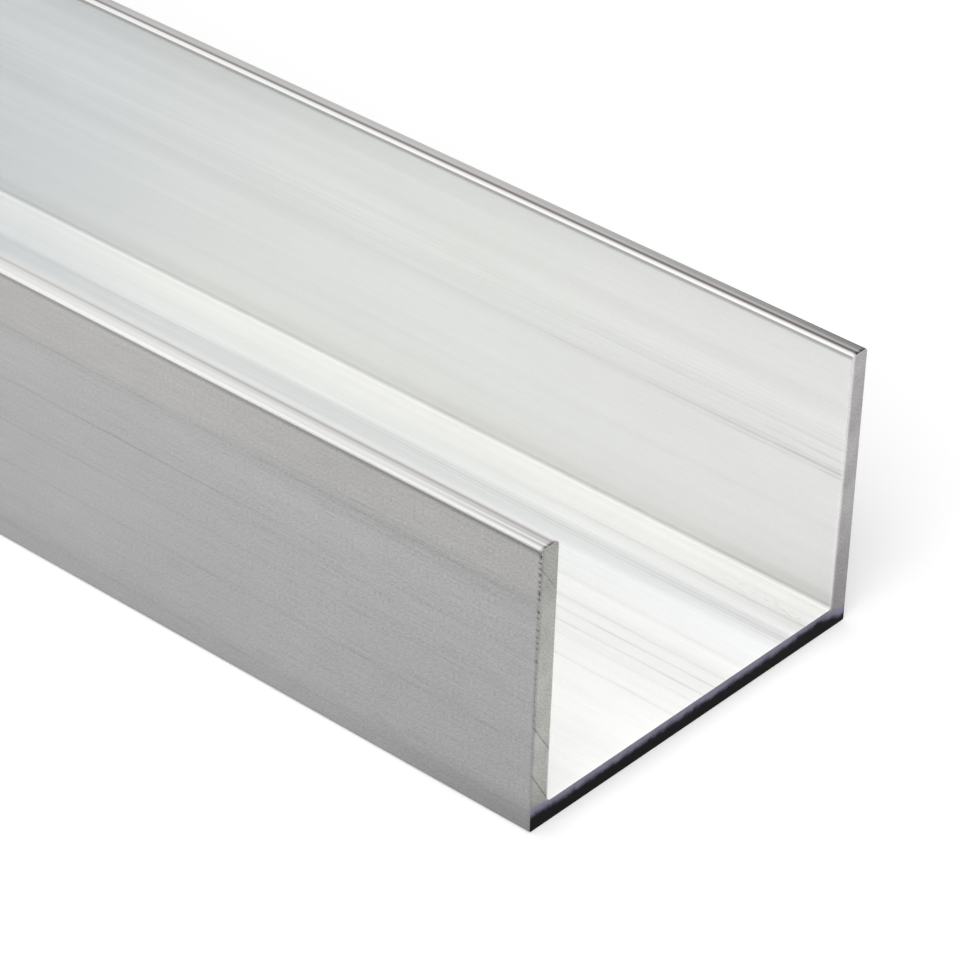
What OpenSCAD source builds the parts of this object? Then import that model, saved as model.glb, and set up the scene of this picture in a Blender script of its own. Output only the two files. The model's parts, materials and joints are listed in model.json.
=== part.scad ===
// Aluminium channel section: one straight extruded length with a flat web,
// parallel flanges that stand up from it, and square-sawn ends.
// The length lies along X, the width along Y, and the flanges point up along Z.
// The origin is the middle of the web's underside.

/* [Stock] */
// Length of the piece, between its sawn ends
length = 1000; // [100:10:6000]
// Overall width, across the outer faces of the flanges
width = 60; // [30:1:150]
// Overall height, from the underside of the web to the flange tips
height = 40; // [20:1:120]
// Thickness of the web
web_thickness = 3; // [1.5:0.1:8]
// Thickness of each flange
flange_thickness = 3; // [1.5:0.1:8]

/* [Edges] */
// Fillet in each inside corner, where a flange rises from the web
root_radius = 0.6; // [0.1:0.1:4]
// Rounding of the outside corners, along the underside of the web
heel_radius = 0.3; // [0.1:0.1:1.4]
// Rounding of a flange tip on the side that faces the trough
tip_inner_radius = 0.6; // [0.1:0.1:0.7]
// Rounding of a flange tip on its outer side
tip_outer_radius = 0.5; // [0.1:0.1:0.7]

/* [Hidden] */
// Facets in a full circle
$fn = 64;
// How far a cutter reaches past the face that it cuts
overcut = 1;
// The trough is the open space between the flanges
trough_width = width - 2 * flange_thickness;
trough_depth = height - web_thickness;
// Mill-finish aluminium, pale silver
mill_silver = [0.80, 0.81, 0.80];

// Waste that leaves a rounded edge when it is cut from a square corner at the
// origin whose material lies towards +x and +y
module edge_rounding(radius) {
    difference() {
        translate([-overcut, -overcut])
            square(radius + overcut);
        translate([radius, radius])
            circle(radius);
    }
}

// Draws its children as they are, and again mirrored to the other flange
module both_sides() {
    children();
    mirror([1, 0, 0])
        children();
}

// The open space between the flanges, with a fillet left in each root
module trough() {
    difference() {
        translate([-trough_width / 2, web_thickness])
            square([trough_width, trough_depth + overcut]);
        both_sides()
            translate([-trough_width / 2, web_thickness])
                intersection() {
                    square(root_radius);
                    edge_rounding(root_radius);
                }
    }
}

// The section, drawn with the width along x and the height along y
module section() {
    difference() {
        translate([-width / 2, 0])
            square([width, height]);
        trough();
        both_sides() {
            translate([-width / 2, 0])
                edge_rounding(heel_radius);
            translate([-width / 2, height])
                mirror([0, 1, 0])
                    edge_rounding(tip_outer_radius);
            translate([flange_thickness - width / 2, height])
                rotate(180)
                    edge_rounding(tip_inner_radius);
        }
    }
}

// The section, extruded along X and sawn square at both ends
module channel() {
    color(mill_silver)
        rotate([90, 0, 90])
            linear_extrude(height = length, center = true)
                section();
}

channel();
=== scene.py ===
import json
import math
from functools import partial

import bpy
import numpy
from mathutils import Matrix, Vector


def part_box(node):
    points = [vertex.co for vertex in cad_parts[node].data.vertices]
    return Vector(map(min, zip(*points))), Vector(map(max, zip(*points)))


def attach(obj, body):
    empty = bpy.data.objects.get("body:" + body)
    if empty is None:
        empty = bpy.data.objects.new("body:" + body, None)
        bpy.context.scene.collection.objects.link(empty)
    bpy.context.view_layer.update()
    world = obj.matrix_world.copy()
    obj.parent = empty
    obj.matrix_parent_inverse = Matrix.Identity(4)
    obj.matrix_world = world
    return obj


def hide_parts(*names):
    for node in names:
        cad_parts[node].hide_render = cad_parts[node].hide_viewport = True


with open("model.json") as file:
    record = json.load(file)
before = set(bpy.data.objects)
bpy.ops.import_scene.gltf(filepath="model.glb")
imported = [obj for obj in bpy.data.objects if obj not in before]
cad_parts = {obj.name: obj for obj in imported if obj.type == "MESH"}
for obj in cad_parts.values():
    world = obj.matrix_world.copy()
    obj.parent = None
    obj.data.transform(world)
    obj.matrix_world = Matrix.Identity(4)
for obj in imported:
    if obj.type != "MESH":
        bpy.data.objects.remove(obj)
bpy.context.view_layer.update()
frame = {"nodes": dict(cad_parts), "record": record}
mm = 0.001  # the frame is in metres, the sizes in this script are in millimetres
scene = bpy.context.scene
scene.view_settings.view_transform = "Standard"
mounts = {mount["name"]: Vector(mount["pos_m"]) for mount in frame["record"]["mounts"]}
nearEnd = Vector((mounts["near_end"].x, 0, 0))  # on the underside, where the camera and the lamps look
print("frame loaded:", ", ".join(frame["nodes"]))


def linear(hexColour):
    # sRGB hex, as a colour picker shows it, to the linear values that shaders take
    shares = [int(hexColour[i:i + 2], 16) / 255 for i in (1, 3, 5)]
    return [s / 12.92 if s <= 0.04045 else ((s + 0.055) / 1.055) ** 2.4 for s in shares] + [1.0]


def addNode(tree, kind, inputs=None, **settings):
    # an input takes a node's first output, a socket or a plain value
    node = tree.nodes.new(kind)
    for name, value in settings.items():
        setattr(node, name, value)
    for key, value in (inputs or {}).items():
        if isinstance(value, bpy.types.Node):
            value = value.outputs[0]
        if isinstance(value, bpy.types.NodeSocket):
            tree.links.new(value, node.inputs[key])
        else:
            node.inputs[key].default_value = value
    return node


def newMaterial(name):
    material = bpy.data.materials.new(name)
    material.use_nodes = True
    material.node_tree.nodes.clear()
    return material, partial(addNode, material.node_tree)


# The camera stands where the photo was taken from, and looks at the near end of the web
camera = {
    "azimuth": 40.39,  # degrees round from the front
    "elevation": 33.42,
    "roll": -1.98,
    "distance": 548.9,  # mm, from the lens to the near end, along the view
    "right": 25.63,  # mm, where the near end lies from the middle of the picture
    "up": -29.32,
    "lens": 170.1,  # mm
    "sensor": 36.0,
    "clipStart": 10.0,
}


def placeCamera():
    turn, rise, roll = (math.radians(camera[key]) for key in ("azimuth", "elevation", "roll"))
    back = Vector((math.sin(turn) * math.cos(rise), -math.cos(turn) * math.cos(rise), math.sin(rise)))
    level = Vector((math.cos(turn), math.sin(turn), 0))
    steep = back.cross(level)
    right = level * math.cos(roll) - steep * math.sin(roll)
    up = level * math.sin(roll) + steep * math.cos(roll)
    offset = back * camera["distance"] - right * camera["right"] - up * camera["up"]
    data = bpy.data.cameras.new("camera")
    data.lens = camera["lens"]
    data.sensor_width = camera["sensor"]
    data.clip_start = camera["clipStart"] * mm
    eye = bpy.data.objects.new("camera", data)
    turned = Matrix((right, up, back)).transposed().to_4x4()
    eye.matrix_world = Matrix.Translation(nearEnd + offset * mm) @ turned
    scene.collection.objects.link(eye)
    scene.camera = eye


placeCamera()
print("camera placed")


# The channel: its section comes from the frame, and the rest only shows close up.
# Lengths are in mm, and whole numbers are counts and the seed.
lowCorner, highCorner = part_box("channel")
channel = {
    "length": (highCorner.x - lowCorner.x) / mm,
    "width": (highCorner.y - lowCorner.y) / mm,
    "height": (highCorner.z - lowCorner.z) / mm,
    "webThickness": mounts["web_inside"].z / mm,
    "flangeThickness": (highCorner.y - mounts["back_flange_inside"].y) / mm,
    "rootRadius": 0.6,
    "heelRadius": 0.3,
    "tipInnerRadius": 0.6,
    "tipOuterRadius": 0.5,
    "pointSpacing": 0.2,  # along the section's outline, fine enough for die lines
    "dieLineDepth": 0.006,
    "dieLineSpacing": 1.3,
    "edgeBreak": 0.12,  # how far from a sawn end its worn edge begins
    "edgeLoss": 0.015,
    "nickDepth": 0.12,
    "nickSpacing": 0.85,
    "nickedHeight": 26.0,  # how far down from the near flange's tip the nicks thin out
    "arcSteps": 8,  # facets of each rounded edge
    "fewestCuts": 18,  # of a straight stretch, for the fine lines on the flange tips
    "ringCount": 53,  # along the length, odd so that one lies in the middle
    "seed": 7,  # of the die lines
}
# What the saw leaves: a ragged edge all round, and nicks along the near flange's outer edge
sawWear = {
    "raggedSize": 0.5,  # mm
    "raggedLoss": (0.2, 2.0),  # least loss and what the noise adds to it, in shares of edgeLoss
    "nickWander": (0.65, 1.2),  # noise steps for each nick, and how many spacings one strays
    "nickUneven": (0.9, 0.35),  # noise steps for each nick, and how much the gaps differ
    "nickGap": (0.05, 0.28),  # share of a spacing left whole, at the tip and where the nicks thin out
    "nickStrength": (1.0, 0.4),  # at the same two places
    "nickFlank": 0.12,  # share of a spacing that a nick's side takes
    "nickRings": (0.8, 2.0),  # rings from the end where nicks begin to fade, and where they are gone
    "outerFace": 0.1,  # mm inwards that still count as the outer face
    "clearOfTip": 0.7,  # mm down from the tip that stay whole
}


def sweepTree(sideMaterial, endMaterial):
    tree = bpy.data.node_groups.new("channelSweep", "GeometryNodeTree")
    for name, value in channel.items():
        kind = "NodeSocketInt" if isinstance(value, int) else "NodeSocketFloat"
        tree.interface.new_socket(name, in_out="INPUT", socket_type=kind)
    tree.interface.new_socket("mesh", in_out="OUTPUT", socket_type="NodeSocketGeometry")
    add = partial(addNode, tree)
    maths, vectors, mapRange = "ShaderNodeMath", "ShaderNodeVectorMath", "ShaderNodeMapRange"
    store, recall = "GeometryNodeStoreNamedAttribute", "GeometryNodeInputNamedAttribute"
    size = add("NodeGroupInput").outputs
    index = add("GeometryNodeInputIndex")
    here = add("GeometryNodeInputPosition")

    # corners of the section, from the middle of the underside round by the far flange
    halfWidth = add(maths, {0: size["width"], 1: 0.5}, operation="MULTIPLY")
    halfTrough = add(maths, {0: halfWidth, 1: size["flangeThickness"]}, operation="SUBTRACT")
    nearHalf = add(maths, {0: halfWidth, 1: -1.0}, operation="MULTIPLY")
    nearTrough = add(maths, {0: halfTrough, 1: -1.0}, operation="MULTIPLY")
    height, web = size["height"], size["webThickness"]
    corners = [
        (0.0, 0.0, 0.0),
        (halfWidth, 0.0, size["heelRadius"]),
        (halfWidth, height, size["tipOuterRadius"]),
        (halfTrough, height, size["tipInnerRadius"]),
        (halfTrough, web, size["rootRadius"]),
        (nearTrough, web, size["rootRadius"]),
        (nearTrough, height, size["tipInnerRadius"]),
        (nearHalf, height, size["tipOuterRadius"]),
        (nearHalf, 0.0, size["heelRadius"]),
    ]
    places = add("GeometryNodeIndexSwitch", data_type="VECTOR")
    radii = add("GeometryNodeIndexSwitch", data_type="FLOAT")
    for switch in (places, radii):
        tree.links.new(index.outputs[0], switch.inputs[0])
        for corner in corners[2:]:
            switch.index_switch_items.new()
    for number, (across, up, radius) in enumerate(corners, 1):
        place = add("ShaderNodeCombineXYZ", {0: across, 1: up})
        tree.links.new(place.outputs[0], places.inputs[number])
        if radius:
            tree.links.new(radius, radii.inputs[number])
    outline = add("GeometryNodePoints", {"Count": len(corners), "Position": places})
    outline = add("GeometryNodePointsToCurves", {0: outline})
    outline = add("GeometryNodeSetSplineCyclic", {0: outline, "Cyclic": True})
    rounded = {0: outline, "Count": size["arcSteps"], "Radius": radii}
    outline = add("GeometryNodeFilletCurve", rounded, mode="POLY")

    # cut the straight stretches into short ones, and leave the arcs as they are
    after = add("GeometryNodeOffsetPointInCurve", {"Point Index": index, "Offset": 1})
    after = after.outputs["Point Index"]
    there = add("GeometryNodeFieldAtIndex", {"Index": after, "Value": here}, data_type="FLOAT_VECTOR")
    gap = add(vectors, {0: here, 1: there}, operation="DISTANCE").outputs["Value"]
    cuts = add(maths, {0: gap, 1: size["pointSpacing"]}, operation="DIVIDE")
    cuts = add(maths, {0: cuts}, operation="FLOOR")
    straight = add(maths, {0: gap, 1: size["heelRadius"]}, operation="GREATER_THAN")
    fewest = add(maths, {0: straight, 1: size["fewestCuts"]}, operation="MULTIPLY")
    cuts = add(maths, {0: cuts, 1: fewest}, operation="MAXIMUM")
    outline = add("GeometryNodeSubdivideCurve", {0: outline, "Cuts": cuts})

    # how far round the outline a point lies, and which way is out of the metal
    around = add("GeometryNodeSplineParameter").outputs["Length"]
    aroundMm = add(maths, {0: around, 1: mm}, operation="DIVIDE")
    slope = add("ShaderNodeSeparateXYZ", {0: add("GeometryNodeInputTangent")}).outputs
    outward = add(maths, {0: slope[0], 1: -1.0}, operation="MULTIPLY")
    outward = add("ShaderNodeCombineXYZ", {1: slope[1], 2: outward})
    spot = add("ShaderNodeSeparateXYZ", {0: here}).outputs
    upright = add("ShaderNodeCombineXYZ", {1: spot[0], 2: spot[1]})

    # die lines: shallow grooves that run the whole length
    lines = add(maths, {0: around, 1: size["dieLineSpacing"]}, operation="DIVIDE")
    lines = add(maths, {0: lines, 1: size["seed"]}, operation="ADD")
    lines = add("ShaderNodeTexNoise", {"W": lines, "Scale": 1.0, "Detail": 3.0}, noise_dimensions="1D")
    depth = add(maths, {0: lines, 1: size["dieLineDepth"]}, operation="MULTIPLY")
    groove = add(vectors, {0: outward, "Scale": depth}, operation="SCALE")
    grooved = add(vectors, {0: upright, 1: groove}, operation="SUBTRACT")
    outline = add(store, {0: outline, "Name": "around", "Value": aroundMm}, data_type="FLOAT")
    outline = add(store, {0: outline, "Name": "outward", "Value": outward}, data_type="FLOAT_VECTOR")
    outline = add(store, {0: outline, "Name": "grooved", "Value": grooved}, data_type="FLOAT_VECTOR")

    # rings along the length, crowded towards each sawn end: edgeBreak times the square of the
    # ring's number, and what is left of the half length by the fourth power
    middle = add(maths, {0: size["ringCount"], 1: 0.5, 2: -0.5}, operation="MULTIPLY_ADD")
    side = add(maths, {0: index, 1: middle}, operation="SUBTRACT")
    fromMiddle = add(maths, {0: side}, operation="ABSOLUTE")
    fromEnd = add(maths, {0: middle, 1: fromMiddle}, operation="SUBTRACT")
    halfLength = add(maths, {0: size["length"], 1: 0.5}, operation="MULTIPLY")
    crowded = add(maths, {0: fromEnd, 1: 2.0}, operation="POWER")
    crowded = add(maths, {0: crowded, 1: size["edgeBreak"]}, operation="MULTIPLY")
    share = add(maths, {0: fromEnd, 1: middle}, operation="DIVIDE")
    share = add(maths, {0: share, 1: 4.0}, operation="POWER")
    taken = add(maths, {0: middle, 1: 2.0}, operation="POWER")
    taken = add(maths, {0: taken, 1: size["edgeBreak"]}, operation="MULTIPLY")
    rest = add(maths, {0: halfLength, 1: taken}, operation="SUBTRACT")
    inward = add(maths, {0: rest, 1: share, 2: crowded}, operation="MULTIPLY_ADD")
    along = add(maths, {0: halfLength, 1: inward}, operation="SUBTRACT")
    along = add(maths, {0: along, 1: add(maths, {0: side}, operation="SIGN")}, operation="MULTIPLY")
    along = add("ShaderNodeCombineXYZ", {0: along})
    path = add("GeometryNodePoints", {"Count": size["ringCount"], "Position": along})
    path = add("GeometryNodePointsToCurves", {0: path})
    path = add(store, {0: path, "Name": "fromEnd", "Value": fromEnd}, data_type="FLOAT")

    # the sweep, stood upright
    sweep = add("GeometryNodeCurveToMesh", {0: path, 1: outline, "Fill Caps": True})
    grooved = add(recall, {"Name": "grooved"}, data_type="FLOAT_VECTOR")
    outward = add(recall, {"Name": "outward"}, data_type="FLOAT_VECTOR")
    around = add(recall, {"Name": "around"}, data_type="FLOAT")
    fromEnd = add(recall, {"Name": "fromEnd"}, data_type="FLOAT")
    lengthwise = add(vectors, {0: here, 1: (1.0, 0.0, 0.0)}, operation="MULTIPLY")
    stood = add(vectors, {0: lengthwise, 1: grooved}, operation="ADD")
    sweep = add("GeometryNodeSetPosition", {0: sweep, "Position": stood})

    # the ragged edge of the end rings
    wear = sawWear
    spot = add("ShaderNodeSeparateXYZ", {0: here}).outputs
    coarse = 1 / (wear["raggedSize"] * mm)
    ragged = add("ShaderNodeTexNoise", {"Vector": here, "Scale": coarse, "Detail": 2.0})
    leastLoss, addedLoss = wear["raggedLoss"]
    loss = add(maths, {0: ragged, 1: addedLoss, 2: leastLoss}, operation="MULTIPLY_ADD")
    loss = add(maths, {0: loss, 1: size["edgeLoss"]}, operation="MULTIPLY")
    atEnd = add(maths, {0: fromEnd, 1: 0.5}, operation="LESS_THAN")
    loss = add(maths, {0: loss, 1: atEnd}, operation="MULTIPLY")

    # nicks, one in each spacing down the edge, that stray and thin out
    teeth = add(maths, {0: spot[2], 1: size["nickSpacing"]}, operation="DIVIDE")
    steps, stray = wear["nickWander"]
    wander = add("ShaderNodeTexNoise", {"W": teeth, "Scale": steps}, noise_dimensions="1D")
    teeth = add(maths, {0: wander, 1: stray, 2: teeth}, operation="MULTIPLY_ADD")
    steps, differ = wear["nickUneven"]
    uneven = add("ShaderNodeTexNoise", {"W": teeth, "Scale": steps}, noise_dimensions="1D")
    teeth = add(maths, {0: teeth, 1: 0.5}, operation="PINGPONG")
    below = add(maths, {0: height, 1: spot[2]}, operation="SUBTRACT")
    downEdge = {0: below, 1: 0.0, 2: size["nickedHeight"]}
    gaps = add(mapRange, {**downEdge, 3: wear["nickGap"][0], 4: wear["nickGap"][1]})
    gaps = add(maths, {0: uneven, 1: differ, 2: gaps}, operation="MULTIPLY_ADD")
    teeth = add(maths, {0: teeth, 1: gaps}, operation="SUBTRACT")
    worst = add(mapRange, {**downEdge, 3: wear["nickStrength"][0], 4: wear["nickStrength"][1]})
    nick = add(mapRange, {0: teeth, 1: 0.0, 2: wear["nickFlank"], 4: worst})
    fade, gone = wear["nickRings"]
    narrow = add(mapRange, {0: fromEnd, 1: fade, 2: gone, 3: 1.0, 4: 0.0})
    nick = add(maths, {0: nick, 1: narrow}, operation="MULTIPLY")
    outer = add(maths, {0: nearHalf, 1: wear["outerFace"] * mm}, operation="ADD")
    limits = [
        (spot[0], 0.0, "GREATER_THAN"),
        (spot[1], outer, "LESS_THAN"),
        (below, wear["clearOfTip"] * mm, "GREATER_THAN"),
    ]
    for value, limit, test in limits:
        within = add(maths, {0: value, 1: limit}, operation=test)
        nick = add(maths, {0: nick, 1: within}, operation="MULTIPLY")
    sweep = add(store, {0: sweep, "Name": "nick", "Value": nick}, data_type="FLOAT")
    nick = add(recall, {"Name": "nick"}, data_type="FLOAT")
    loss = add(maths, {0: nick, 1: size["nickDepth"], 2: loss}, operation="MULTIPLY_ADD")
    worn = add(vectors, {0: outward, "Scale": loss}, operation="SCALE")
    worn = add(vectors, {0: here, 1: worn}, operation="SUBTRACT")
    sweep = add("GeometryNodeSetPosition", {0: sweep, "Position": worn})

    # a map with the length along U, for the brushed look
    unrolled = add(maths, {0: around, 1: mm}, operation="MULTIPLY")
    unrolled = add("ShaderNodeCombineXYZ", {0: spot[0], 1: unrolled})
    mapped = {0: sweep, "Name": "lengthwise", "Value": unrolled}
    sweep = add(store, mapped, data_type="FLOAT2", domain="CORNER")
    for name in ("outward", "grooved", "fromEnd"):
        sweep = add("GeometryNodeRemoveAttribute", {0: sweep, "Name": name})

    # smooth faces with sharp sawn edges, and a finish for each
    sweep = add("GeometryNodeSetShadeSmooth", {0: sweep, "Shade Smooth": True})
    bend = add("GeometryNodeInputMeshEdgeAngle")
    sharp = add(maths, {0: bend, 1: math.radians(30)}, operation="GREATER_THAN")
    sweep = add("GeometryNodeSetShadeSmooth", {0: sweep, 1: sharp, 2: False}, domain="EDGE")
    sweep = add("GeometryNodeRealizeInstances", {0: sweep})
    endwise = add("ShaderNodeSeparateXYZ", {0: add("GeometryNodeInputNormal")})
    endwise = add(maths, {0: endwise}, operation="ABSOLUTE")
    endwise = add(maths, {0: endwise, 1: 0.95}, operation="GREATER_THAN")
    sweep = add("GeometryNodeSetMaterial", {0: sweep, "Material": sideMaterial})
    sawn = {0: sweep, "Selection": endwise, "Material": endMaterial}
    sweep = add("GeometryNodeSetMaterial", sawn)
    add("NodeGroupOutput", {0: sweep})
    return tree


def makeChannel(tree):
    piece = bpy.data.objects.new("channelBody", bpy.data.meshes.new("blank"))
    scene.collection.objects.link(piece)
    modifier = piece.modifiers.new("sweep", "NODES")
    modifier.node_group = tree
    for socket in tree.interface.items_tree:
        if socket.in_out == "INPUT":
            value = channel[socket.name]
            modifier[socket.identifier] = value if isinstance(value, int) else value * mm
    graph = bpy.context.evaluated_depsgraph_get()
    swept = piece.evaluated_get(graph)
    mesh = bpy.data.meshes.new_from_object(swept, preserve_all_data_layers=True, depsgraph=graph)
    piece.modifiers.remove(modifier)
    piece.data = mesh
    mesh.name = "channelBody"
    return piece


def edgePlaces():
    # where each side's first edge lies, in mm round the outline from the middle of the underside
    width, height = channel["width"], channel["height"]
    web, flange = channel["webThickness"], channel["flangeThickness"]
    heel, root = channel["heelRadius"], channel["rootRadius"]
    inner, outer = channel["tipInnerRadius"], channel["tipOuterRadius"]
    sides = [
        ("farUnderside", width / 2, 0, heel),
        ("farOuter", height, heel, outer),
        ("farTip", flange, outer, inner),
        ("farInner", height - web, inner, root),
        ("web", width - 2 * flange, root, root),
        ("nearInner", height - web, root, inner),
        ("nearTip", flange, inner, outer),
        ("nearOuter", height, outer, heel),
        ("nearUnderside", width / 2, heel, 0),
    ]
    places, reached = {}, 0
    for name, side, firstRadius, lastRadius in sides:
        places[name] = reached - firstRadius
        reached += side - firstRadius - lastRadius + lastRadius * math.pi / 2
    places["wholeWay"] = reached
    return places


# Mill finish: the outer faces' grey is painted shade, darker than the trough, which keeps the die's shine
millFinish = {
    "places": {  # colour and roughness
        # the outer faces' colours are painted shade
        "outer": ("#b4b4b4", 0.50),
        "outerTop": ("#b6b5b4", 0.50),
        # the dark outer edges, the tips' light and dark lines and the white roundings are painted
        # highlights and painted shade of their facets
        "outerEdgeShade": ("#999797", 0.50),
        "tip": ("#cdcccc", 0.46),
        "tipBright": ("#e3e3e2", 0.46),
        "tipPale": ("#dad9d9", 0.46),
        "tipFine": ("#c2c1c1", 0.46),
        "tipLine": ("#aaa9a9", 0.46),
        "tipShade": ("#958a8c", 0.46),
        "rounding": ("#f4f4f4", 0.42),
        "flangeInside": ("#f5f5f5", 0.42),
        "web": ("#f7f7f7", 0.55),
        "webRoot": ("#f7f7f6", 0.55),
        "webCool": ("#f6f7f8", 0.55),
    },
    # painted reflection: a tint of the trough by mm from the near end, which turns cooler towards the back
    "reflectionTints": [(0.0, "#fefefd"), (124.0, "#fefffd"), (149.0, "#f5f7f8")],
    "anisotropy": 0.6,
    # the nicks' dark colour is painted shade in their hollows
    "nickShade": "#2a2626",
    "grainFade": (20.0, 90.0),  # mm from an end where the grain begins to fade, and where it has
    "grainLeft": 0.5,  # share of the grain that is left there
    "bandMargin": 0.35,  # mm that a band may reach past its side's edges, on to the rounding
    "brokenSize": (10.0, 0.3),  # mm along and across, in which a mark of the die comes and goes
    "brokenTone": (0.3, 1.5),  # share of its tone, at its faintest and at its strongest
    # patterns: mm along and across, shares of colour and of roughness, height in mm, share in the trough.
    # Real grain and brush lines are under 0.1 mm wide, and are drawn as coarse as they need to show
    "patterns": {
        "grain": (0.45, 0.17, 0.60, 0.15, 0.0, 0.15),
        "brushing": (5.0, 0.14, 0.38, 0.15, 0.0, 0.15),
        "hairlines": (45.0, 0.30, 0.14, 0.10, 0.003, 0.35),
        "streaks": (220.0, 1.7, 0.09, 0.05, 0.0, 0.8),
        "clouds": (38.0, 9.0, 0.10, 0.03, 0.0, 0.5),
        "scuffs": (1.5, 0.18, 0.80, 0.0, 0.0, 1.0),
    },
}
# where the colours, with their painted shade and highlights, stand on each side: mm from its first edge,
# colour
sidePlan = {
    "farOuter": [(39.4, "outer")],
    "farTip": [
        (-0.1, "outerEdgeShade"), (0.2, "tip"), (1.48, "tip"), (1.66, "tipShade"), (1.92, "tipShade"),
        (2.25, "rounding"),
    ],
    "farInner": [
        (0.0, "rounding"), (0.1, "tipLine"), (0.3, "tipLine"), (0.6, "flangeInside"),
        (36.3, "flangeInside"),
    ],
    "web": [
        (0.4, "webRoot"), (4.0, "webRoot"), (8.5, "webCool"), (14.0, "webCool"), (18.0, "web"),
    ],
    "nearInner": [(36.2, "web")],
    "nearTip": [
        (0.15, "tipPale"), (0.6, "tipPale"), (0.85, "tipFine"), (1.05, "tipFine"), (1.25, "tipPale"),
        (1.65, "tipPale"), (1.9, "tipBright"), (2.5, "tipBright"), (2.75, "rounding"),
    ],
    "nearOuter": [
        (0.27, "rounding"), (0.48, "outerEdgeShade"), (0.6, "outerEdgeShade"), (1.1, "outerTop"),
        (6.0, "outerTop"), (9.0, "outer"),
    ],
}
# where the trough's shine begins and ends: side, mm from its first edge, share
shinePlan = [("farTip", -0.3, 0), ("farTip", 0.3, 1), ("nearOuter", -0.1, 1), ("nearOuter", 0.6, 0)]
# soft bands on each side, many of them painted shade and light: darker towards the near face's foot, the
# far flange's foot and the near end, lighter at the web's root; the rest are broad bands of the die: mm
# from its first edge, half width in mm, how much lighter or darker, and how far from the near end it fades
# out in mm (0 runs the whole length)
shadeAndDieBands = {
    "nearOuter": [
        (40.0, 38.0, -0.1, 0), (40.0, 7.5, -0.08, 0), (40.0, 5.0, -0.03, 60), (39.0, 4.5, -0.13, 25),
        (40.0, 0.5, -0.15, 0), (20.0, 60.0, -0.11, 75), (7.9, 2.2, -0.06, 0), (3.0, 8.0, -0.025, 60),
        (0.5, 2.0, -0.05, 60), (0.32, 0.25, -0.24, 60), (0.5, 0.35, -0.2, 50), (20.0, 30.0, -0.3, 0.3),
    ],
    "farInner": [
        (0.0, 5.0, -0.11, 0), (0.0, 9.0, 0.08, 130), (10.5, 3.5, 0.035, 0), (17.1, 1.4, -0.05, 0),
        (27.0, 7.0, -0.02, 0), (27.0, 9.0, -0.045, 45), (37.0, 11.0, -0.1, 0), (37.0, 11.0, -0.07, 70),
        (34.8, 2.4, -0.05, 0), (18.0, 60.0, -0.02, 25), (36.5, 0.45, -0.08, 0), (36.5, 0.45, -0.06, 60),
        (36.0, 1.8, -0.06, 0), (35.8, 1.8, -0.05, 25),
    ],
    "web": [
        (0.1, 0.5, -0.06, 0), (0.0, 0.4, 0.12, 190), (0.0, 3.5, 0.02, 0), (4.5, 3.0, -0.06, 0),
        (5.5, 2.5, -0.05, 40), (8.0, 4.0, -0.1, 0), (9.2, 1.9, -0.13, 0), (11.0, 1.7, -0.13, 0),
        (11.0, 1.8, 0.1, 40), (14.0, 5.0, -0.1, 0), (14.0, 5.0, 0.11, 60), (25.0, 5.0, -0.02, 0),
        (20.0, 12.0, -0.05, 0), (18.4, 1.4, 0.05, 0), (20.8, 1.2, -0.03, 0), (40.0, 12.0, 0.04, 0),
    ],
    "farTip": [
        (0.7, 1.4, -0.14, 0), (0.5, 1.3, -0.42, 60), (0.2, 0.4, -0.25, 25), (2.0, 0.5, -0.62, 125),
        (1.1, 0.5, -0.17, 60), (1.5, 1.6, -0.7, 0.4), (0.1, 0.6, -0.42, 25), (0.1, 0.6, -0.38, 0.6),
    ],
    "nearTip": [
        (0.4, 0.55, 0.1, 80), (1.0, 0.5, -0.22, 80), (1.45, 0.45, -0.12, 80), (2.8, 0.5, -0.16, 0),
        (2.8, 0.5, 0.12, 80), (1.6, 2.4, -0.75, 0.5), (2.25, 0.3, -0.42, 25), (1.6, 0.3, -0.15, 30),
    ],
}
# sharp marks of the die, which come and go along the length, with the same values as the bands
dieMarks = {
    "nearOuter": [
        (7.7, 0.35, -0.08, 0), (15.5, 0.35, -0.1, 0), (21.8, 0.35, -0.05, 0), (28.0, 0.35, -0.06, 0),
        (37.2, 0.4, -0.06, 0),
    ],
    "farInner": [
        (13.6, 0.25, -0.1, 50), (15.2, 0.25, -0.12, 35), (16.4, 0.25, -0.16, 40), (17.0, 0.3, -0.24, 70),
        (17.7, 0.25, -0.16, 30), (36.5, 0.3, -0.08, 0),
    ],
    "farTip": [
        (0.35, 0.2, -0.16, 0), (0.8, 0.2, -0.16, 0), (1.35, 0.2, -0.14, 0), (1.0, 0.25, -0.12, 25),
    ],
    "web": [
        (2.9, 0.3, -0.06, 40), (5.2, 0.4, -0.18, 60), (8.2, 0.2, -0.07, 80), (8.9, 0.2, -0.15, 80),
        (9.5, 0.2, -0.14, 80), (10.3, 0.2, -0.08, 60), (17.0, 0.5, -0.06, 0), (20.7, 0.5, -0.07, 0),
        (22.9, 0.3, -0.15, 0), (25.0, 0.3, -0.15, 0), (27.0, 0.4, -0.07, 0), (30.6, 0.3, -0.11, 0),
    ],
}
# where hairlines are stronger: mm from the side's first edge, half width in mm, how much stronger
lineGroups = {
    "nearOuter": [(8.0, 3.0, 1.5)],
    "farInner": [(13.5, 5.0, 3.0)],
    "web": [(9.0, 4.0, 4.0), (21.0, 11.0, 1.8)],
}
# rubbed patches: mm from the side's first edge and from the near end, half width and half length in mm
rubs = {"web": [(3.8, 10.2, 0.9, 2.6), (4.2, 5.4, 0.7, 1.6), (4.4, 2.2, 0.7, 2.0)]}


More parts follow.
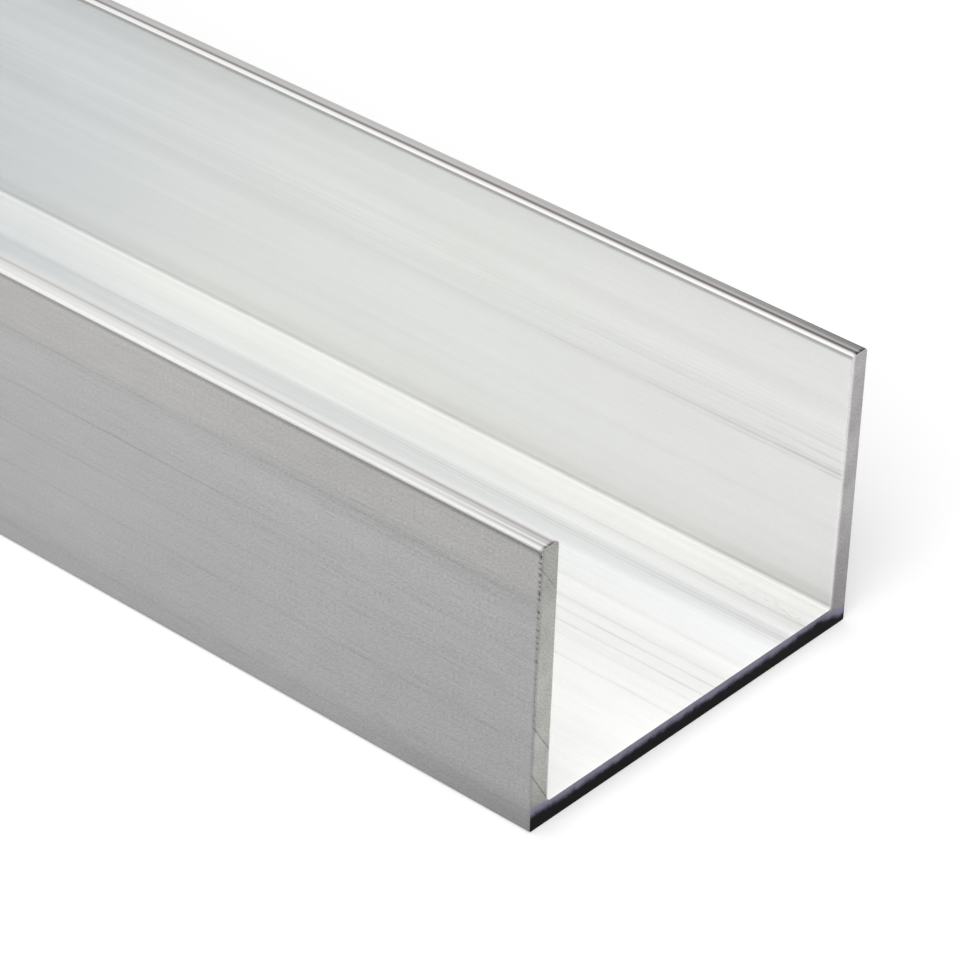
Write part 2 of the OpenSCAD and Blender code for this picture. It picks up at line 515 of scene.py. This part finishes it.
def paintSides(mesh):
    # each side's colour with its painted shade and highlights, its shine and the marks of the die, kept on
    # the mesh's points
    edge = edgePlaces()
    following = dict(zip(edge, list(edge)[1:]))
    count = len(mesh.vertices)
    around, spots = numpy.zeros(count), numpy.zeros(count * 3)
    mesh.attributes["around"].data.foreach_get("value", around)
    mesh.vertices.foreach_get("co", spots)
    fromNearEnd = channel["length"] / 2 - spots[0::3] / mm
    fromAnEnd = numpy.minimum(fromNearEnd, channel["length"] - fromNearEnd)

    def humpAt(side, distance, halfWidth):
        # 1 in the middle of a band, falling to 0 at its edges
        return numpy.clip(1 - abs(around - edge[side] - distance) / halfWidth, 0, 1)

    stops, shades, roughs = [], [], []
    for side, rows in sidePlan.items():
        for distance, name in rows:
            shade, rough = millFinish["places"][name]
            stops.append(edge[side] + distance)
            shades.append(linear(shade))
            roughs.append(rough)
    shades = numpy.array(shades)
    colours = numpy.stack([numpy.interp(around, stops, shades[:, i]) for i in range(4)], axis=1)
    roughness = numpy.interp(around, stops, roughs)
    shineStops = [edge[side] + distance for side, distance, share in shinePlan]
    shine = numpy.interp(around, shineStops, [share for side, distance, share in shinePlan])
    grainGain = numpy.interp(fromAnEnd, millFinish["grainFade"], [1, millFinish["grainLeft"]])

    tones = {}
    for kind, plan in (("soft", shadeAndDieBands), ("sharp", dieMarks)):
        tones[kind] = numpy.zeros(count)
        for side, bands in plan.items():
            first = edge[side] - millFinish["bandMargin"]
            last = edge[following[side]] + millFinish["bandMargin"]
            onSide = (around >= first) & (around <= last)
            for distance, halfWidth, tone, reach in bands:
                hump = humpAt(side, distance, halfWidth)
                hump = hump * hump * (3 - 2 * hump) * onSide
                if reach:
                    hump = hump * numpy.clip(1 - fromNearEnd / reach, 0, 1)
                tones[kind] += hump * tone
    # the soft bands paint shade and light into the sides' colour
    colours[:, :3] *= (1 + tones["soft"])[:, None]
    # painted reflection: the trough's tint along the length
    tintStops = [distance for distance, tint in millFinish["reflectionTints"]]
    reflectionTints = numpy.array([linear(tint) for distance, tint in millFinish["reflectionTints"]])
    for i in range(3):
        colours[:, i] *= 1 + shine * (numpy.interp(fromNearEnd, tintStops, reflectionTints[:, i]) - 1)

    lineGain, rubbed = numpy.zeros(count), numpy.zeros(count)
    for side, groups in lineGroups.items():
        for distance, halfWidth, stronger in groups:
            lineGain += stronger * humpAt(side, distance, halfWidth)
    for side, patches in rubs.items():
        for distance, fromEnd, halfWidth, halfLength in patches:
            off = (around - edge[side] - distance) / halfWidth
            off = numpy.hypot(off, (fromNearEnd - fromEnd) / halfLength)
            rubbed += numpy.clip(1.5 - off, 0, 1)  # full half way out, and gone half as far past the rim

    values = {
        "sideRoughness": roughness, "shine": shine, "dieMark": tones["sharp"],
        "lineGain": lineGain, "grainGain": grainGain, "rubbed": rubbed,
    }
    for name, value in values.items():
        mesh.attributes.new(name, "FLOAT", "POINT").data.foreach_set("value", value)
    mesh.attributes.new("sideColourAndPaintedShade", "FLOAT_COLOR", "POINT").data.foreach_set("color", colours.ravel())


def millFinishAluminium():
    # as extruded: satin silver, streaked along the length by the die
    material, add = newMaterial("millFinishAluminium")
    maths, vectors, mapRange = "ShaderNodeMath", "ShaderNodeVectorMath", "ShaderNodeMapRange"
    finish = millFinish
    kept = {}
    for name in ("around", "nick", "shine", "dieMark", "lineGain", "grainGain", "rubbed", "sideRoughness"):
        kept[name] = add("ShaderNodeAttribute", attribute_name=name).outputs["Fac"]
    # the sides' colour, with their painted shade, highlights and reflection tint
    sideColourAndPaintedShade = add("ShaderNodeAttribute", attribute_name="sideColourAndPaintedShade").outputs["Color"]
    place = add("ShaderNodeSeparateXYZ", {0: add("ShaderNodeTexCoord").outputs["Object"]})
    along = add(maths, {0: place, 1: mm}, operation="DIVIDE")
    flat = add("ShaderNodeCombineXYZ", {0: along, 1: kept["around"]})

    # the marks of the die come and go
    lengthMm, widthMm = finish["brokenSize"]
    faintest, strongest = finish["brokenTone"]
    broken = add(vectors, {0: flat, 1: (1 / lengthMm, 1 / widthMm, 0)}, operation="MULTIPLY")
    broken = add("ShaderNodeTexNoise", {"Vector": broken, "Scale": 1.0}, noise_dimensions="2D")
    broken = add(mapRange, {0: broken, 1: 0.3, 2: 0.7, 3: faintest, 4: strongest})  # noise is mostly there
    tone = add(maths, {0: kept["dieMark"], 1: broken}, operation="MULTIPLY")
    tone = add(maths, {0: tone, 1: 1.0}, operation="ADD")

    roughness, relief = kept["sideRoughness"], None
    for name, pattern in finish["patterns"].items():
        lengthMm, widthMm, colourShare, roughShare, heightMm, troughShare = pattern
        scaled = add(vectors, {0: flat, 1: (1 / lengthMm, 1 / widthMm, 0)}, operation="MULTIPLY")
        noise = {"Vector": scaled, "Scale": 1.0, "Detail": 2.0}
        noise = add("ShaderNodeTexNoise", noise, noise_dimensions="2D")
        noise = add(maths, {0: noise, 1: 0.5}, operation="SUBTRACT")
        if heightMm:
            relief = add(maths, {0: noise, 1: heightMm * mm}, operation="MULTIPLY")
        amount = add(mapRange, {0: kept["shine"], 3: 1.0, 4: troughShare})
        if name == "hairlines":
            amount = add(maths, {0: amount, 1: kept["lineGain"], 2: amount}, operation="MULTIPLY_ADD")
        elif name in ("grain", "brushing"):
            amount = add(maths, {0: amount, 1: kept["grainGain"]}, operation="MULTIPLY")
        elif name == "scuffs":
            noise = add(maths, {0: noise, 1: 0.0}, operation="MINIMUM")  # dark flecks only
            amount = kept["rubbed"]
        noise = add(maths, {0: noise, 1: amount}, operation="MULTIPLY")
        tone = add(maths, {0: noise, 1: colourShare, 2: tone}, operation="MULTIPLY_ADD")
        roughness = add(maths, {0: noise, 1: roughShare, 2: roughness}, operation="MULTIPLY_ADD")
    colour = add(vectors, {0: sideColourAndPaintedShade, "Scale": tone}, operation="SCALE")
    # painted shade in the nicks
    nicked = {0: kept["nick"], 6: colour, 7: linear(finish["nickShade"])}  # 6 and 7 are Mix's colours
    colour = add("ShaderNodeMix", nicked, data_type="RGBA").outputs[2]

    bump = add("ShaderNodeBump", {"Height": relief, "Distance": 1.0})
    tangent = add("ShaderNodeTangent", direction_type="UV_MAP", uv_map="lengthwise")
    shader = add("ShaderNodeBsdfPrincipled", {
        "Base Color": colour, "Metallic": 1.0, "Roughness": roughness, "Normal": bump,
        "Anisotropic": finish["anisotropy"], "Anisotropic Rotation": 0.25, "Tangent": tangent})
    add("ShaderNodeOutputMaterial", {"Surface": shader})
    return material


# Sawn ends: arcs of a circular saw, and at the near end a web darkened to near black towards the bottom
sawnFinish = {
    "colour": "#a9a9a5",
    "farTint": "#fbf7ff",  # the far flange's end is a little cooler
    "roughness": 0.42,
    "sawCentre": (78.0, 116.0),  # mm across and up from the channel's origin
    "arcSpacing": 0.35,  # mm, coarser than the saw's own marks so that they show
    "arcWobble": (6.0, 0.5),  # mm, over which an arc strays, and how far
    "arcTone": 0.20,
    "arcRoughness": 0.2,
    "arcHeight": 0.006,  # mm
    "speckSize": 0.22,  # mm
    "speckTone": 1.0,
    "cloudSize": 4.0,  # mm
    "cloudTone": 0.4,
    # painted shade: a flange's end darkens to this share at the first of these heights in mm, and is plain
    # at the next
    "farFootShade": (0.62, 2.0, 20.0),
    "nearFootShade": (0.72, 3.0, 9.0),
    "nearTopShade": (0.84, 40.0, 27.0),
    "webEndBlack": "#030204",
    "webEndPurpleGrey": "#777388",
    "webEndGloss": 0.04,  # specular level
    "darkBandTop": (1.45, 2.55, 3.5),  # mm above the underside: black, purple grey, plain metal
    "darkBandWaves": (1.5, 0.7),  # mm, length and height of the waves of its edge
    "darkBandGrain": 0.5,  # mm that the specks move its edge
    "darkBandSwell": 0.4,  # mm that it stands higher beside the far flange
    "swellLength": 7.0,  # mm over which it rises to that
    "darkBandDrop": 1.3,  # mm that it stands lower again on the far flange
    "darkBandRise": 0.35,  # mm that it stands higher on the near flange
    "cornerReach": 2.0,  # mm to each side of a flange's inner face, over which it drops or rises
}
# scratches and a worn outer edge of the near end, and painted highlights along the flanges' inner edges:
# from and to, mm across and up, half width, tone
scratchesAndHighlights = [
    ((-30.0, 15.1), (-27.0, 10.6), 0.14, -0.50), ((-30.0, 8.2), (-27.0, 3.4), 0.14, -0.55),
    ((-30.0, 37.5), (-27.0, 33.2), 0.10, -0.35), ((-26.8, 40.0), (-27.1, 0.0), 0.25, 0.80),
    ((-29.7, 40.0), (-29.9, 0.0), 0.22, -0.25), ((27.3, 40.0), (26.95, 0.0), 0.55, 0.95),
]


def sawnAluminium():
    # square cut by a circular saw: duller than the sides, with fine arcs and specks
    material, add = newMaterial("sawnAluminium")
    maths, vectors, mapRange = "ShaderNodeMath", "ShaderNodeVectorMath", "ShaderNodeMapRange"
    noiseKind, mixKind = "ShaderNodeTexNoise", "ShaderNodeMix"
    finish = sawnFinish
    place = add("ShaderNodeTexCoord").outputs["Object"]
    place = add(vectors, {0: place, "Scale": 1 / mm}, operation="SCALE")
    spot = add("ShaderNodeSeparateXYZ", {0: place}).outputs
    across, up = spot[1], spot[2]
    onNearEnd = add(maths, {0: spot[0], 1: 0.0}, operation="GREATER_THAN")
    onFarFlange = add(maths, {0: across, 1: 0.0}, operation="GREATER_THAN")
    cut = add("ShaderNodeCombineXYZ", {0: across, 1: up})

    # arcs, specks and clouds
    strayMm, strays = finish["arcWobble"]
    centre = (*finish["sawCentre"], 0)
    radius = add(vectors, {0: cut, 1: centre}, operation="DISTANCE").outputs["Value"]
    wobble = add(noiseKind, {"Vector": cut, "Scale": 1 / strayMm}, noise_dimensions="2D")
    radius = add(maths, {0: wobble, 1: strays, 2: radius}, operation="MULTIPLY_ADD")
    arcs = add(maths, {0: radius, 1: finish["arcSpacing"]}, operation="DIVIDE")
    arcs = add(noiseKind, {"W": arcs, "Scale": 1.0, "Detail": 2.0}, noise_dimensions="1D")
    arcs = add(maths, {0: arcs, 1: 0.5}, operation="SUBTRACT")
    specks = add(noiseKind, {"Vector": cut, "Scale": 1 / finish["speckSize"]}, noise_dimensions="2D")
    specks = add(maths, {0: specks, 1: 0.5}, operation="SUBTRACT")
    clouds = {"Vector": cut, "Scale": 1 / finish["cloudSize"], "Detail": 2.0}
    clouds = add(noiseKind, clouds, noise_dimensions="2D")
    plain = 1 - finish["cloudTone"] / 2
    tone = add(maths, {0: clouds, 1: finish["cloudTone"], 2: plain}, operation="MULTIPLY_ADD")
    tone = add(maths, {0: arcs, 1: finish["arcTone"], 2: tone}, operation="MULTIPLY_ADD")
    tone = add(maths, {0: specks, 1: finish["speckTone"], 2: tone}, operation="MULTIPLY_ADD")

    # scratches, the worn outer edge and the painted highlights along the inner edges
    for start, end, halfWidth, lineTone in scratchesAndHighlights:
        run = Vector(end) - Vector(start)
        square = (-run.y / run.length, run.x / run.length, 0)
        off = add(vectors, {0: cut, 1: (*start, 0)}, operation="SUBTRACT")
        off = add(vectors, {0: off, 1: square}, operation="DOT_PRODUCT").outputs["Value"]
        off = add(maths, {0: off}, operation="ABSOLUTE")
        line = add(mapRange, {0: off, 1: 0.0, 2: halfWidth, 3: lineTone, 4: 0.0})
        middle, room = (start[0] + end[0]) / 2, abs(end[0] - start[0]) / 2 + halfWidth
        onFlange = add(maths, {0: across, 1: middle, 2: room}, operation="COMPARE")
        line = add(maths, {0: line, 1: onFlange}, operation="MULTIPLY")
        tone = add(maths, {0: line, 1: onNearEnd, 2: tone}, operation="MULTIPLY_ADD")

    # painted shade on each flange's end, darker at the foot and at the near flange's top, and the far
    # flange's tint
    shades = {}
    for name in ("farFootShade", "nearFootShade", "nearTopShade"):
        share, shaded, plain = finish[name]
        shades[name] = add(mapRange, {0: up, 1: shaded, 2: plain, 3: share, 4: 1.0})
    nearShade = add(maths, {0: shades["nearFootShade"], 1: shades["nearTopShade"]}, operation="MULTIPLY")
    shade = add(mixKind, {0: onFarFlange, 2: nearShade, 3: shades["farFootShade"]}).outputs[0]
    tone = add(maths, {0: tone, 1: shade}, operation="MULTIPLY")
    tint = {0: onFarFlange, 6: linear("#ffffff"), 7: linear(finish["farTint"])}
    tint = add(mixKind, tint, data_type="RGBA").outputs[2]
    colour = add(vectors, {0: linear(finish["colour"])[:3], 1: tint}, operation="MULTIPLY")
    colour = add(vectors, {0: colour, "Scale": tone}, operation="SCALE")

    # the near end of the web, darkened to near black towards the bottom, with an uneven upper edge
    waveMm, waveHeight = finish["darkBandWaves"]
    waves = add(noiseKind, {"Vector": cut, "Scale": 1 / waveMm, "Detail": 2.0}, noise_dimensions="2D")
    level = add(maths, {0: waves, 1: waveHeight, 2: -waveHeight / 2}, operation="MULTIPLY_ADD")
    level = add(maths, {0: specks, 1: finish["darkBandGrain"], 2: level}, operation="MULTIPLY_ADD")
    level = add(maths, {0: level, 1: up}, operation="ADD")
    halfTrough, corner = channel["width"] / 2 - channel["flangeThickness"], finish["cornerReach"]
    swellStart = halfTrough - corner - finish["swellLength"]
    shifts = [  # from and to, mm across, and how much lower the dark band stands at each
        (swellStart, halfTrough - corner, 0.0, -finish["darkBandSwell"]),
        (halfTrough - corner, halfTrough + corner, 0.0, finish["darkBandDrop"]),
        (-halfTrough - corner, -halfTrough + corner, -finish["darkBandRise"], 0.0),
    ]
    for start, end, startLower, endLower in shifts:
        lower = add(mapRange, {0: across, 1: start, 2: end, 3: startLower, 4: endLower})
        level = add(maths, {0: level, 1: lower}, operation="ADD")
    black, purple, plainAbove = finish["darkBandTop"]
    for low, high, bandColourName in ((purple, plainAbove, "webEndPurpleGrey"), (black, purple, "webEndBlack")):
        amount = {0: level, 1: low, 2: high, 3: 1.0, 4: 0.0}
        amount = add(mapRange, amount, interpolation_type="SMOOTHSTEP")
        amount = add(maths, {0: amount, 1: onNearEnd}, operation="MULTIPLY")
        colour = {0: amount, 6: colour, 7: linear(finish[bandColourName])}
        colour = add(mixKind, colour, data_type="RGBA").outputs[2]
    metal = add(maths, {0: 1.0, 1: amount}, operation="SUBTRACT")

    relief = add(maths, {0: arcs, 1: finish["arcHeight"] * mm}, operation="MULTIPLY")
    bump = add("ShaderNodeBump", {"Height": relief, "Distance": 1.0})
    roughness = {0: arcs, 1: finish["arcRoughness"], 2: finish["roughness"]}
    roughness = add(maths, roughness, operation="MULTIPLY_ADD")
    shader = add("ShaderNodeBsdfPrincipled", {
        "Base Color": colour, "Metallic": metal, "Roughness": roughness, "Normal": bump,
        "Specular IOR Level": finish["webEndGloss"]})
    add("ShaderNodeOutputMaterial", {"Surface": shader})
    return material


piece = makeChannel(sweepTree(millFinishAluminium(), sawnAluminium()))
print("channel swept:", len(piece.data.polygons), "faces")
paintSides(piece.data)
print("sides painted")
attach(piece, "root")
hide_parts("channel")


# A pale floor, a white room and a large softbox over the camera's right shoulder
studio = {
    "floorColour": "#f4f4f4",
    "floorSize": 30.0,  # m
    "floorDrop": 0.1,  # mm under the channel
    "floorLift": 0.17,  # makes the lit floor white where it is seen, and lights nothing
    "roomLight": 0.55,  # what the white room gives to matt surfaces
    "lamps": {  # place and size in m, power in W
        "softbox": ((0.95, -0.9, 1.25), 1.2, 15.0),
        "overhead": ((-0.2, -0.3, 1.4), 1.5, 2.3),
    },
}


def shownDirectly(add):
    # 1 where the camera looks, also by way of metal or glass, and 0 where a surface only gives light
    path = add("ShaderNodeLightPath").outputs
    shown = add("ShaderNodeMath", {0: path["Is Camera Ray"], 1: path["Is Glossy Ray"]}, operation="ADD")
    return add("ShaderNodeMath", {0: shown, 1: path["Is Transmission Ray"]}, operation="ADD")


def layFloor():
    # matt white paper, which takes the channel's soft shadow
    material, add = newMaterial("mattPaperFloor")
    matt = add("ShaderNodeBsdfDiffuse", {"Color": linear(studio["floorColour"])})
    shown = shownDirectly(add)
    lift = add("ShaderNodeMath", {0: shown, 1: studio["floorLift"]}, operation="MULTIPLY")
    glow = add("ShaderNodeEmission", {"Color": linear("#ffffff"), "Strength": lift})
    surface = add("ShaderNodeAddShader", {0: matt, 1: glow})
    add("ShaderNodeOutputMaterial", {"Surface": surface})
    reach, low = studio["floorSize"] / 2, -studio["floorDrop"] * mm
    corners = [(-reach, -reach, low), (reach, -reach, low), (reach, reach, low), (-reach, reach, low)]
    mesh = bpy.data.meshes.new("floor")
    mesh.from_pydata(corners, [], [(0, 1, 2, 3)])
    mesh.materials.append(material)
    floor = bpy.data.objects.new("floor", mesh)
    scene.collection.objects.link(floor)


def lightRoom():
    world = bpy.data.worlds.new("whiteRoom")
    world.use_nodes = True
    world.node_tree.nodes.clear()
    add = partial(addNode, world.node_tree)
    shown = shownDirectly(add)
    level = add("ShaderNodeMapRange", {0: shown, 3: studio["roomLight"], 4: 1.0})
    glow = add("ShaderNodeBackground", {"Color": linear("#ffffff"), "Strength": level})
    add("ShaderNodeOutputWorld", {"Surface": glow})
    scene.world = world
    for name, (place, size, power) in studio["lamps"].items():
        data = bpy.data.lights.new(name, "AREA")
        data.shape = "SQUARE"
        data.size = size
        data.energy = power
        lamp = bpy.data.objects.new(name, data)
        lamp.location = place
        lamp.rotation_euler = (nearEnd - lamp.location).to_track_quat("-Z", "Y").to_euler()
        scene.collection.objects.link(lamp)


layFloor()
lightRoom()
print("studio lit")
